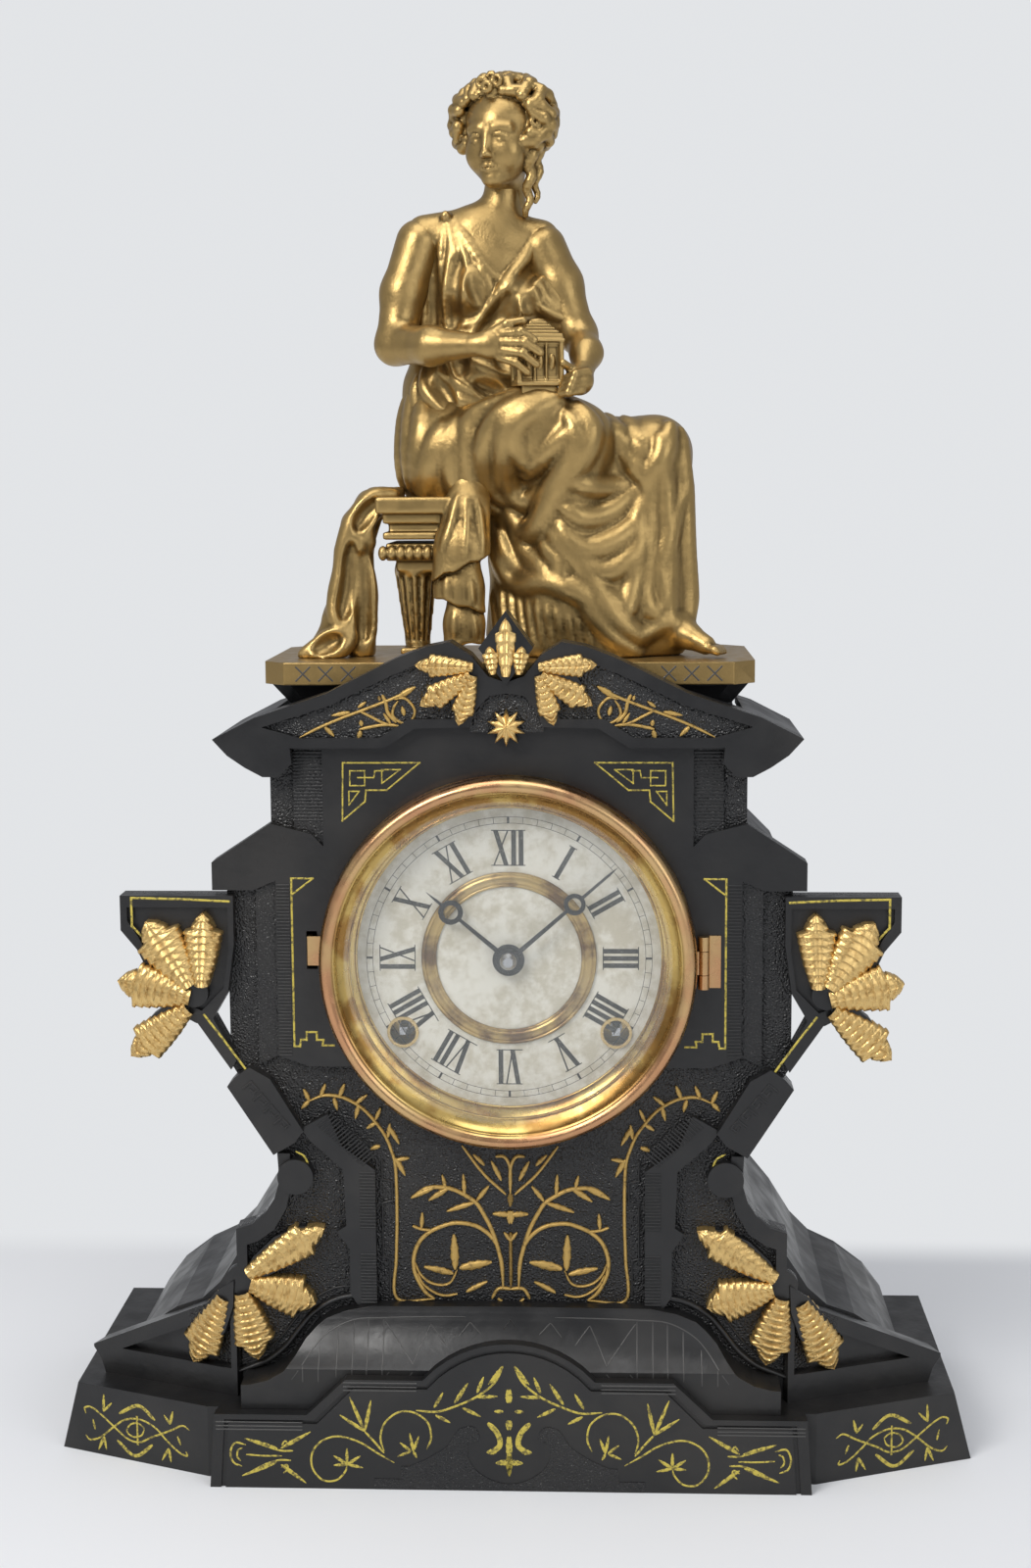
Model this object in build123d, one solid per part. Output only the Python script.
from build123d import *
from math import atan2, ceil, cos, degrees, floor, hypot, pi, radians, sin
import os

# Figural mantel clock: an enamelled cast-iron case with a brass bezel, an eight-day
# time and strike movement with a gong, and a seated spelter figure on top.
# Millimetres, +X to the viewer's right, +Y to the back, +Z up, origin under the base's middle.

# Driving dimensions of the case
base_half_width = 133.4
wing_half_width = 209.0
base_depth = 160.0
base_height = 33.0
base_arch_height = 68.0
iron_wall = 5.0
case_height = 341.0
case_half_width = 130.0
neck_half_width = 103.5
flank_half_width = 196.0
dial_height = 235.0
front_plane = -58.0
ground_depth = 4.5
relief_depth = 2.5
casting_thickness = 12.0
body_back = 62.0
back_plate_thickness = 3.0
sweep_share = 0.392

# Driving dimensions of the dial, the bezel and the door
bezel_radius = 82.5
bezel_depth = 13.5
sight_radius = 67.0
dial_hole_radius = 74.5
glass_thickness = 1.8
winding_half_span = 47.2
winding_drop = 33.5
back_door_radius = 62.0

# Driving dimensions of the movement
plate_half_width = 62.0
plate_height = 136.0
plate_thickness = 1.6
plate_space = 32.0
front_plate_face = -41.0
arbor_radius = 1.2
centre_arbor_radius = 1.5
winding_arbor_radius = 2.6
pendulum_length = 150.0
bob_radius = 18.5
gong_radius = 44.0

# Driving dimensions of the plinth and the figure
plinth_half_width = 108.0
plinth_top = 365.0
plinth_depth = 100.0
crown_height = 621.0
casket_width = 21.0

# Clearances and the overrun that every cut shares
running_gap = 0.05
push_gap = 0.02
open_gap = 0.3
overrun = 1.0


def points(shares, width, height, foot=0.0):
    """Outline points in X and Z from shares of a width and of a height above a foot."""
    return [(width * across, foot + height * up) for across, up in shares]


def symmetric(right_half):
    """Closed outline on both sides of X = 0, from its right half read bottom to top."""
    return right_half + [(-x, z) for x, z in reversed(right_half) if x > 0]


def slab(outline, front, back):
    """Plate whose outline lies in X and Z, between a front and a back plane."""
    face = make_face(Polyline(*[(x, front, z) for x, z in outline], close=True))
    return extrude(face, amount=back - front, dir=(0, 1, 0))


def block(left, right, front, back, bottom, top):
    """Rectangular block between six planes."""
    corner = Plane(origin=(left, front, bottom))
    return Part() + Solid.make_box(right - left, back - front, top - bottom, corner)


def disc(x, z, radius, front, back):
    """Round bar along Y."""
    start = Plane(origin=(x, front, z), z_dir=(0, 1, 0))
    return Part() + Solid.make_cylinder(radius, back - front, start)


def post(x, y, radius, bottom, top):
    """Round bar along Z."""
    start = Plane(origin=(x, y, bottom), z_dir=(0, 0, 1))
    return Part() + Solid.make_cylinder(radius, top - bottom, start)


def turned(x, z, profile):
    """Body turned about a Y axis through X and Z; the profile is radius and Y."""
    face = make_face(Polyline(*[(x + radius, y, z) for radius, y in profile], close=True))
    return revolve(face, axis=Axis((x, 0, z), (0, 1, 0)), revolution_arc=360)


def rod(start, end, radius, end_radius=None):
    """Round or tapering bar between two points."""
    run = Vector(*end) - Vector(*start)
    plane = Plane(origin=start, z_dir=run)
    if end_radius is None:
        return Part() + Solid.make_cylinder(radius, run.length, plane)
    return Part() + Solid.make_cone(radius, end_radius, run.length, plane)


def egg(centre, radii):
    """Ellipsoid with three half axes."""
    return Pos(*centre) * scale(Sphere(1), by=radii)


def both_sides(shape):
    """The shape and its mirror image across X = 0."""
    return shape + mirror(shape, about=Plane.YZ)


def save(name, *shapes):
    """One STEP file for one sub-part."""
    solids = [solid for shape in shapes for solid in shape.solids()]
    export_step(Compound(children=solids), "parts/" + name + ".step")


# The base casting

block_face = -base_depth / 2
base_back = base_depth / 2
wing_root = base_half_width + 2.6
base_arch_half_chord = 38.0
base_arch_spring = 50.8
wing_root_setback = 10.7
wing_taper = 8.6
moulding = 2.4
raised_foot_share = 0.672
raised_top_share = 0.542
base_wall = 8.0
base_frame_share = 0.965
base_field_share = 0.985
base_field_drop = 1.68


def base_front_outline():
    """Low shoulders, a raised middle and a segmental arch on top of it."""
    shoulder = base_height + moulding / 2
    raised = [
        (base_half_width, 0),
        (base_half_width - moulding, shoulder),
        (base_half_width * raised_foot_share, shoulder),
        (base_half_width * raised_top_share, base_arch_spring),
        (base_arch_half_chord, base_arch_spring),
    ]
    rise = base_arch_height - base_arch_spring
    arch_radius = (base_arch_half_chord ** 2 + rise ** 2) / (2 * rise)
    arch_centre = base_arch_height - arch_radius
    steps = 7
    for step in range(1, steps):
        x = base_arch_half_chord * (1 - step / steps)
        raised.append((x, arch_centre + (arch_radius ** 2 - x ** 2) ** 0.5))
    raised.append((0, base_arch_height))
    return symmetric(raised)


def wing_plan(inset, wall, height):
    """Swept-back plan of the base with both wings, drawn in by a taper and a wall."""
    wing_front = block_face + wing_root_setback + wall
    outer = wing_half_width - inset - wall
    back = base_back - inset / 2 - wall
    tip_front = wing_front + sweep_share * (outer - wing_root)
    corners = [
        (outer, back), (-outer, back), (-outer, tip_front),
        (-wing_root, wing_front), (wing_root, wing_front), (outer, tip_front),
    ]
    return make_face(Polyline(*[(x, y, height) for x, y in corners], close=True))


def base_casting():
    """Block front and swept wings under a level deck, hollow from below."""
    body = loft([wing_plan(0, 0, 0), wing_plan(wing_taper, 0, base_height)], ruled=True)
    ceiling = base_height - iron_wall
    hollow = loft([wing_plan(0, base_wall, 0), wing_plan(wing_taper, base_wall, ceiling)], ruled=True)
    outline = base_front_outline()
    body = body - hollow + slab(outline, block_face, hood_face - open_gap)
    foot = [(x, min(z, base_height)) for x, z in outline if z <= base_height + moulding]
    body = body + slab(foot, hood_face - open_gap, block_face + wing_root_setback + iron_wall)
    inner = [(x * base_frame_share, z - moulding) for x, z in outline]
    groove = slab(inner, block_face, block_face + moulding / 2)
    field_outline = [(x * base_field_share, z - base_field_drop) for x, z in inner]
    field = slab(field_outline, block_face, block_face + moulding / 2)
    return body - (groove - field)


# The cushion moulding between the base and the front

hood_foot_half_width = 119.8
hood_top = 78.0
hood_setback = 6.0
hood_face = block_face + hood_setback
hood_cove_radius = 34.0
hood_cove_ahead_share = 0.62
hood_cove_up_share = 0.05
hood_shares = [
    (1.0, 0.0), (1.0, 0.27), (0.967, 0.275), (0.9, 0.32), (0.84, 0.415), (0.8, 0.54), (0.765, 0.68),
    (0.725, 0.79), (0.69, 0.867), (0.618, 0.94), (0.52, 0.99), (0.0, 1.0),
]


def hood_outline():
    """Ogee outline of the cushion, standing on the deck."""
    return symmetric(points(hood_shares, hood_foot_half_width, hood_top - base_height, base_height))


def hood_moulding():
    """Ogee cushion on the deck, with a coved front above a square foot."""
    body = slab(hood_outline(), hood_face, ground)
    cove_y = hood_face - hood_cove_radius * hood_cove_ahead_share
    cove_z = hood_top + hood_cove_radius * hood_cove_up_share
    cove = Plane(origin=(-case_half_width, cove_y, cove_z), z_dir=(1, 0, 0))
    return body - Solid.make_cylinder(hood_cove_radius, 2 * case_half_width, cove)


# The front casting: field, pilasters, consoles and swept flanks

field_half_width = 99.0
pilaster_half_width = 60.0
ground = front_plane + ground_depth
casting_back = front_plane + casting_thickness
silhouette_shares = [
    (0.946, 0.0), (0.946, 0.256), (0.888, 0.264), (0.843, 0.281), (0.811, 0.302), (0.796, 0.324),
    (0.795, 0.348), (0.798, 0.37), (0.808, 0.37), (0.962, 0.471), (0.934, 0.485), (0.955, 0.5),
    (0.955, 0.757), (1.0, 0.757), (1.0, 0.797), (0.8, 0.853), (0.8, 1.0), (0.0, 1.0),
]
neck_border_shares = [
    (0.946, 0.19), (0.946, 0.256), (0.888, 0.264), (0.843, 0.281), (0.811, 0.302), (0.796, 0.324),
    (0.795, 0.348), (0.798, 0.37), (0.755, 0.37), (0.752, 0.32), (0.772, 0.286), (0.815, 0.255),
    (0.87, 0.238), (0.91, 0.232), (0.91, 0.19),
]
field_shares = [
    (0.0, 0.5), (0.68, 0.5), (0.785, 0.515), (0.785, 0.771), (0.62, 0.82), (0.62, 1.0), (0.0, 1.0),
]
shoulder_shares = [
    (0.86, 0.757), (1.0, 0.757), (1.0, 0.797), (0.8, 0.853), (0.66, 0.838), (0.62, 0.82), (0.785, 0.771),
]
upper_pilaster_shares = [(0.62, 0.82), (0.72, 0.835), (0.72, 1.0), (0.62, 1.0)]
strip_shares = [(0.785, 0.515), (0.855, 0.5), (0.855, 0.757), (0.785, 0.771)]
console_shares = [
    (0.808, 0.37), (0.735, 0.388), (0.704, 0.4055), (0.815, 0.483), (0.885, 0.5), (0.934, 0.485),
    (0.962, 0.471),
]
lower_pilaster_shares = [
    (0.462, 0.12), (0.515, 0.133), (0.554, 0.16), (0.554, 0.227), (0.596, 0.253), (0.564, 0.262),
    (0.572, 0.346), (0.686, 0.39), (0.715, 0.407), (0.622, 0.429), (0.576, 0.382), (0.462, 0.346),
]
flank_shares = [
    (0.0, 0.0), (0.92, 0.0), (0.95, 0.1), (1.0, 0.18), (1.0, 0.2), (0.2, 0.65), (0.06, 0.76),
    (0.0, 0.86),
]
flank_panel_shares = [(0.04, 0.2), (0.8, 0.2), (0.2, 0.53), (0.04, 0.62)]
neck_foot = 97.0
flank_boss_share = 0.86
flank_root = 124.0
scroll_place_shares = (0.735, 0.337)
scroll_radius = 8.0
latch_slot = (84.0, 88.8, 231.0, 248.0)
rear_screw_places_shares = [(0.72, 0.93), (0.86, 0.6)]
rear_screw_radius = 2.2
leaf_width_share = 0.34
boss_radius = 6.5
front_leaves = [(44.0, 145.0), (30.5, 200.0), (32.5, 261.0)]
flank_leaves = [(44.0, 299.0)]


def front_height():
    """Height of the front casting above the deck, up to the pediment."""
    return case_height - base_height


def front_points(shares):
    """Outline points of one layer of the front casting."""
    return points(shares, case_half_width, front_height(), base_height)


def swept(shape, root, turn):
    """A plate drawn in front view, swept back about a vertical edge."""
    return Pos(root, front_plane, 0) * Rot(0, 0, turn) * Pos(-root, -front_plane, 0) * shape


def leaf(x, z, length, width, heading, front, back):
    """Pointed leaf, rooted at X and Z and pointing along a heading in degrees from +X."""
    shares = [(0.0, 0.0), (0.25, 0.36), (0.55, 0.5), (0.82, 0.36), (1.0, 0.0)]
    upper = [(length * along, width * out) for along, out in shares]
    lower = [(along, -out) for along, out in reversed(upper[1:-1])]
    turn = radians(heading)
    outline = [
        (x + along * cos(turn) - out * sin(turn), z + along * sin(turn) + out * cos(turn))
        for along, out in upper + lower
    ]
    return slab(outline, front, back)


def flank():
    """Right-hand swept flank with its roof moulding, sunk panel, boss and leaves."""
    width = (flank_half_width - flank_root) / cos(atan2(sweep_share, 1))
    height = neck_foot - base_height
    outline = [(flank_root + x, z) for x, z in points(flank_shares, width, height, base_height)]
    panel = [(flank_root + x, z) for x, z in points(flank_panel_shares, width, height, base_height)]
    body = slab(outline, front_plane, casting_back)
    body = body - slab(panel, front_plane - overrun, ground)
    leaf_front = front_plane - relief_depth / 2
    boss_z = base_height + height * flank_boss_share
    for length, heading in flank_leaves:
        width = length * leaf_width_share
        body = body + leaf(flank_root, boss_z, length, width, heading, leaf_front, ground)
    body = body - block(0, flank_root, front_plane - wing_half_width, casting_back, 0, neck_foot * 2)
    return swept(body, flank_root, degrees(atan2(sweep_share, 1)))


def flank_room():
    """Room in front of the flank's back, kept clear by the case body."""
    room = block(flank_root - iron_wall, 2 * flank_half_width, front_plane - wing_half_width,
                 casting_back + push_gap, base_height - overrun, neck_foot * 2)
    return both_sides(swept(room, flank_root, degrees(atan2(sweep_share, 1))))


def front_casting():
    """Waisted front plate with its layers of relief and the round dial opening."""
    body = slab(symmetric(front_points(silhouette_shares)), ground, casting_back)
    body = body + slab(symmetric(front_points(field_shares)), front_plane, ground)
    middle = front_plane + relief_depth
    for shares, front in (
        (shoulder_shares, front_plane),
        (upper_pilaster_shares, middle),
        (strip_shares, middle),
        (console_shares, front_plane - relief_depth),
        (lower_pilaster_shares, front_plane),
        (neck_border_shares, front_plane),
    ):
        body = body + both_sides(slab(front_points(shares), front, ground))
    scroll_x, scroll_z = front_points([scroll_place_shares])[0]
    body = body + both_sides(disc(scroll_x, scroll_z, scroll_radius, front_plane - relief_depth, ground))
    boss_x = flank_root - moulding
    boss_z = base_height + (neck_foot - base_height) * flank_boss_share
    for length, heading in front_leaves:
        spray = leaf(boss_x, boss_z, length, length * leaf_width_share, heading, front_plane, ground)
        body = body + both_sides(spray)
    body = body + both_sides(disc(boss_x, boss_z, boss_radius, front_plane, ground))
    body = body + both_sides(flank())
    body = body - slab(hood_outline(), hood_face, ground)
    body = body - disc(0, dial_height, dial_hole_radius, front_plane - overrun, casting_back + overrun)
    left, right, bottom, top = latch_slot
    body = body - block(-right, -left, front_plane - overrun, casting_back + overrun, bottom, top)
    for x, z in front_points(rear_screw_places_shares):
        hole = disc(x, z, rear_screw_radius + running_gap, casting_back - iron_wall, casting_back + overrun)
        body = body - both_sides(hole)
    return body


# The ears at the dial's sides

ear_face = -60.0
ear_back = -48.0
ear_height = 86.0
ear_foot = 178.0
ear_reach = 50.0
ear_root = 120.6
ear_shares = [
    (0.05, 0.09), (0.34, 0.335), (0.35, 0.335), (0.62, 0.42), (0.86, 0.72), (1.0, 0.82), (1.0, 1.0),
    (0.0, 1.0), (0.0, 0.75), (0.06, 0.5), (0.2, 0.36), (0.0, 0.14),
]
ear_panel_shares = [
    (0.1, 0.52), (0.3, 0.4), (0.6, 0.48), (0.84, 0.78), (0.94, 0.87), (0.94, 0.94), (0.05, 0.94),
    (0.05, 0.72),
]
ear_boss_share = 0.36
ear_boss_height_share = 0.5
ear_leaves = [(37.0, -46.0), (31.5, 6.0), (35.0, 55.0), (32.5, 99.0)]


def ear(side):
    """Bracket-shaped ear with a sunk panel and a fan of leaves round a boss."""
    outline = [(ear_root + x, z) for x, z in points(ear_shares, ear_reach, ear_height, ear_foot)]
    panel = [(ear_root + x, z) for x, z in points(ear_panel_shares, ear_reach, ear_height, ear_foot)]
    body = slab(outline, ear_face, ear_back) - slab(panel, ear_face, ear_face + relief_depth)
    boss_x = ear_root + ear_reach * ear_boss_share
    boss_z = ear_foot + ear_height * ear_boss_height_share
    leaf_front = ear_face - relief_depth
    for length, heading in ear_leaves:
        body = body + leaf(boss_x, boss_z, length, length * leaf_width_share, heading, leaf_front,
                           ear_face + 2 * relief_depth)
    body = body + disc(boss_x, boss_z, boss_radius, leaf_front, ear_back)
    silhouette = slab(front_points(silhouette_shares), ground, body_back)
    console = slab(front_points(console_shares), front_plane - relief_depth, ground)
    body = body - silhouette - console
    return body if side > 0 else mirror(body, about=Plane.YZ)


# The pediment

pediment_face = -64.0
pediment_back = -46.0
pediment_half_width = 127.4
pediment_foot = 317.0
pediment_height = 58.4
roof_back = 16.0
finial_height = 388.6
finial_half_width = 11.7
pediment_shares = [
    (0.0, 0.62), (0.06, 0.6), (0.1, 0.5), (0.125, 0.37), (0.31, 0.36), (0.415, 0.215), (0.735, 0.215),
    (0.73, 0.1), (0.775, 0.0), (0.83, 0.0), (0.89, 0.07), (0.95, 0.16), (1.0, 0.28), (0.857, 0.44),
    (0.612, 0.617), (0.42, 0.825), (0.364, 0.884), (0.27, 0.962), (0.188, 0.997), (0.119, 0.902),
    (0.06, 0.745), (0.0, 0.70),
]
pediment_panel_shares = [
    (0.18, 0.43), (0.33, 0.43), (0.43, 0.29), (0.7, 0.29), (0.83, 0.37), (0.6, 0.53), (0.4, 0.74),
    (0.27, 0.86), (0.19, 0.88), (0.14, 0.78),
]
roof_shares = [(1.0, 0.28), (0.857, 0.44), (0.801, 0.48), (0.801, 0.3), (0.89, 0.16), (0.95, 0.16)]
niche_radius = 16.0
niche_height_share = 0.37
star_radius = 8.2
star_tips = 10
pediment_leaves = [(19.0, -7.0), (23.0, -48.0), (25.0, -87.0)]
spray_place_shares = (0.15, 0.86)
finial_foot_share = 0.68


def pediment_points(shares):
    """Outline points of one layer of the pediment."""
    return points(shares, pediment_half_width, pediment_height, pediment_foot)


def star(x, z, outer, inner, tips, front, back):
    """Star with sharp tips, cut from a plate."""
    corners = []
    for index in range(2 * tips):
        radius = outer if index % 2 == 0 else inner
        angle = pi / 2 + index * pi / tips
        corners.append((x + radius * cos(angle), z + radius * sin(angle)))
    return slab(corners, front, back)


def pediment():
    """Broken pediment with eaves, a round niche, leaf sprays and a diamond finial."""
    body = slab(symmetric(pediment_points(pediment_shares)), pediment_face, pediment_back)
    panel = slab(pediment_points(pediment_panel_shares), pediment_face, pediment_face + relief_depth)
    body = body - both_sides(panel)
    niche_z = pediment_foot + pediment_height * niche_height_share
    niche = disc(0, niche_z, niche_radius, pediment_face + relief_depth, pediment_back)
    niche = niche - block(-niche_radius, niche_radius, pediment_face, pediment_back, pediment_foot,
                          niche_z - moulding)
    body = body + niche
    body = body + star(0, niche_z, star_radius, star_radius / 2, star_tips, pediment_face, pediment_back)
    spray_x, spray_z = pediment_points([spray_place_shares])[0]
    for length, heading in pediment_leaves:
        spray = leaf(spray_x, spray_z, length, length * leaf_width_share, heading,
                     pediment_face - relief_depth / 2, pediment_face + relief_depth)
        body = body + both_sides(spray)
    finial_foot = pediment_foot + pediment_height * finial_foot_share
    finial = [(0, finial_foot), (finial_half_width, (finial_height + finial_foot) / 2), (0, finial_height)]
    body = body + slab(symmetric(finial), pediment_face - relief_depth / 2, pediment_back)
    body = body + both_sides(slab(pediment_points(roof_shares), pediment_back - moulding, roof_back))
    front_top = case_half_width * silhouette_shares[-2][0]
    return body - block(-front_top, front_top, front_plane, body_back, pediment_foot - overrun, case_height)


# The case body behind the front

shell_shares = [
    (1.4, 0.0), (1.38, 0.03), (1.31, 0.07), (1.2, 0.105), (1.1, 0.125), (1.03, 0.155), (0.95, 0.21),
    (0.85, 0.262), (0.79, 0.302), (0.775, 0.335), (0.785, 0.37), (0.925, 0.465), (0.94, 0.5),
    (0.94, 0.78), (0.78, 0.848), (0.78, 0.985), (0.0, 0.985),
]
shell_front = casting_back
door_hole_radius = 58.0
back_door_height = 215.0


def shell_outline(inset):
    """Outline of the case body, drawn in by the wall for its inside."""
    outline = symmetric(front_points(shell_shares))
    face = make_face(Polyline(*[(x, 0, z) for x, z in outline], close=True))
    if inset:
        face = offset(face, amount=-inset, kind=Kind.INTERSECTION)
    return face


def case_body():
    """Cast sides and top of the case, open at the front, the back and the deck."""
    outer = extrude(Pos(0, shell_front, 0) * shell_outline(0), amount=body_back - shell_front, dir=(0, 1, 0))
    through = body_back - shell_front + 2 * overrun
    inner_face_start = Pos(0, shell_front - overrun, 0) * shell_outline(iron_wall)
    inner = extrude(inner_face_start, amount=through, dir=(0, 1, 0))
    inner = inner + block(-neck_half_width, neck_half_width, shell_front - overrun, body_back + overrun,
                          base_height - overrun, base_height + 2 * iron_wall)
    return outer - inner - flank_room()


def back_plate():
    """Flat iron back with a round hole for the door."""
    outline = shell_outline(push_gap)
    plate = extrude(Pos(0, body_back, 0) * outline, amount=back_plate_thickness, dir=(0, 1, 0))
    plate = plate - disc(0, back_door_height, door_hole_radius, body_back - overrun,
                         body_back + back_plate_thickness + overrun)
    for x, z in front_points(rear_screw_places_shares):
        plate = plate - both_sides(disc(x, z, rear_screw_radius + running_gap, body_back - overrun,
                                        body_back + back_plate_thickness + overrun))
    return plate


def case_bolts():
    """Four long bolts that draw the back plate, the body and the front together."""
    body = Part()
    back = body_back + back_plate_thickness
    for x, z in front_points(rear_screw_places_shares):
        shank = disc(x, z, rear_screw_radius, casting_back - iron_wall + open_gap, back)
        head = disc(x, z, rear_screw_radius * 2, back, back + rear_screw_radius)
        quarter = rear_screw_radius / 4
        slot = block(x - rear_screw_radius * 2, x + rear_screw_radius * 2, back + rear_screw_radius / 2,
                     back + rear_screw_radius + overrun, z - quarter, z + quarter)
        body = body + both_sides(shank + head - slot)
    return body


door_thickness = 1.2
door_hinge_radius = 1.6
door_hinge_half_length = 12.4
door_leaf_share = 0.86
door_rim_depth = 2.4
door_rim_width = 3.6
door_knob_share = 0.8
door_knob_shares = [(0.0, 0.25), (1.0, 0.25), (1.0, 1.5), (1.8, 2.0), (1.8, 3.0), (0.0, 3.4)]


def door_hinge_place():
    """X and Y of the back door's hinge pin."""
    back = body_back + back_plate_thickness
    return (-back_door_radius - door_hinge_radius - open_gap, back + door_hinge_radius + open_gap)


def back_door():
    """Round door with a raised rim, a hinge barrel and a turned knob."""
    front = body_back + back_plate_thickness + open_gap
    door = disc(0, back_door_height, back_door_radius, front, front + door_thickness)
    ring = disc(0, back_door_height, back_door_radius, front, front + door_rim_depth)
    ring = ring - disc(0, back_door_height, back_door_radius - door_rim_width, front - overrun,
                       front + door_rim_depth + overrun)
    profile = [(door_rim_depth * out, front + door_rim_depth * along) for out, along in door_knob_shares]
    knob = turned(back_door_radius * door_knob_share, back_door_height, profile)
    hinge_x, hinge_y = door_hinge_place()
    half = door_hinge_half_length
    barrel = post(hinge_x, hinge_y, door_hinge_radius, back_door_height - half, back_door_height + half)
    leaf_plate = block(hinge_x, -back_door_radius * door_leaf_share, hinge_y - door_thickness / 2,
                       hinge_y + door_thickness / 2, back_door_height - half, back_door_height + half)
    bore = post(hinge_x, hinge_y, door_hinge_radius / 2 + running_gap, back_door_height - half - overrun,
                back_door_height + half + overrun)
    return door + ring + knob + barrel + leaf_plate - bore


def back_door_hinge():
    """Pin and two fixed knuckles, screwed to the back plate."""
    hinge_x, hinge_y = door_hinge_place()
    half = door_hinge_half_length
    length = half / 2
    back = body_back + back_plate_thickness
    body = post(hinge_x, hinge_y, door_hinge_radius / 2, back_door_height - half - length,
                back_door_height + half + length)
    for bottom in (back_door_height - half - open_gap - length, back_door_height + half + open_gap):
        body = body + post(hinge_x, hinge_y, door_hinge_radius, bottom, bottom + length)
        body = body + block(hinge_x - length, hinge_x, back, back + door_thickness, bottom, bottom + length)
        body = body + block(hinge_x - door_hinge_radius, hinge_x, back, hinge_y, bottom, bottom + length)
    return body


# The plinth under the figure

plinth_front = -45.0
slab_thickness = 10.0
slab_chamfer = 9.5
cove_foot_half_width = 101.0
plinth_wall = 9.0


def plinth_plan(half_width, chamfer, height):
    """Rectangle with clipped corners, as a face at one height."""
    back = plinth_front + plinth_depth
    inset = plinth_half_width - half_width
    corners = [
        (half_width - chamfer, plinth_front + inset), (half_width, plinth_front + inset + chamfer),
        (half_width, back - inset - chamfer), (half_width - chamfer, back - inset),
    ]
    corners = corners + [(-x, y) for x, y in reversed(corners)]
    return make_face(Polyline(*[(x, y, height) for x, y in corners], close=True))


def plinth_slab():
    """Bronzed slab that the figure is bolted to."""
    slab_foot = plinth_top - slab_thickness
    body = extrude(plinth_plan(plinth_half_width, slab_chamfer, slab_foot), amount=slab_thickness)
    for x, y in figure_stud_places():
        body = body - post(x, y, figure_stud_radius + running_gap, slab_foot - overrun, plinth_top + overrun)
    return body


def plinth_cove():
    """Black hollow moulding between the case top and the slab, open in the middle."""
    shell_top = base_height + front_height() * shell_shares[-1][1]
    slab_foot = plinth_top - slab_thickness
    middle = (shell_top + slab_foot) / 2
    waist = cove_foot_half_width - moulding
    body = loft([plinth_plan(cove_foot_half_width, slab_chamfer, shell_top),
                 plinth_plan(waist, slab_chamfer, middle)], ruled=True)
    body = body + loft([plinth_plan(waist, slab_chamfer, middle),
                        plinth_plan(plinth_half_width - moulding, slab_chamfer, slab_foot)], ruled=True)
    front = plinth_front + 2 * plinth_wall
    back = plinth_front + plinth_depth - 2 * plinth_wall
    half = cove_foot_half_width - 2 * plinth_wall
    window = block(-half, half, front, back, shell_top - overrun, slab_foot + overrun)
    body = body - window
    return body - front_room()


def front_room():
    """Room of the pediment and its roof, for what is fitted behind them."""
    return block(-pediment_half_width, pediment_half_width, pediment_face - overrun, pediment_back,
                 pediment_foot, finial_height + overrun)


figure_stud_radius = 2.5
figure_stud_drop = 5.6
figure_nut_height = 4.0
figure_nut_radius = 4.8
figure_stud_places_shares = [(-0.42, 0.0), (0.3, 0.0)]


def figure_stud_places():
    """X and Y of the studs that hold the figure."""
    return [(plinth_half_width * across, plinth_depth * back) for across, back in figure_stud_places_shares]


def figure_studs():
    """Studs and nuts that hold the figure down on the slab."""
    body = Part()
    slab_foot = plinth_top - slab_thickness
    for x, y in figure_stud_places():
        body = body + post(x, y, figure_stud_radius, slab_foot - figure_stud_drop, plinth_top)
        hexagon = Plane(origin=(x, y, slab_foot - figure_nut_height)) * RegularPolygon(figure_nut_radius, 6)
        body = body + extrude(hexagon, amount=figure_nut_height)
    return body


# The bezel door with its glass, hinge and latch

bezel_foot = front_plane - open_gap
bezel_lip = bezel_foot - bezel_depth
glass_radius = 71.5
hinge_barrel_radius = 2.5
hinge_pin_radius = 1.1
hinge_half_length = 11.6
hinge_x = bezel_radius + hinge_barrel_radius + open_gap
hinge_y = front_plane - hinge_barrel_radius - open_gap
hinge_middle_share = 0.44
hinge_leaf_share = 0.985
hinge_leaf_reach = 7.5
latch_root_share = 0.97
latch_inset = 2.0
glass_rim_share = 0.87
glass_sight_share = 0.838
glass_back_share = 0.6
glass_bevel_share = 0.06
bezel_profile_shares = [
    (1.0, 0.0), (1.0, 0.22), (0.985, 0.5), (0.955, 0.78), (0.925, 0.93), (0.9, 1.0), (0.872, 0.97),
    (0.86, 0.86), (0.84, 0.8), (glass_sight_share, 0.66), (glass_rim_share, glass_back_share),
    (glass_rim_share, 0.38), (0.905, 0.3), (0.915, 0.0),
]


def bezel():
    """Stepped brass ring, turned in one piece."""
    profile = [(bezel_radius * out, bezel_foot - bezel_depth * up) for out, up in bezel_profile_shares]
    return turned(0, dial_height, profile)


def bezel_glass():
    """Flat glass with a bevelled edge, held in the bezel's groove."""
    radius = bezel_radius * glass_rim_share - push_gap
    middle = bezel_foot - bezel_depth * glass_back_share + push_gap
    bevel = bezel_depth * glass_bevel_share
    edge = glass_thickness / 2
    back = middle + glass_thickness - bevel
    sight = bezel_radius * glass_sight_share - edge
    return turned(0, dial_height, [
        (0, back), (radius, back), (radius, middle), (sight, middle - edge / 2),
        (0, middle - bevel - edge / 2),
    ])


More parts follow.
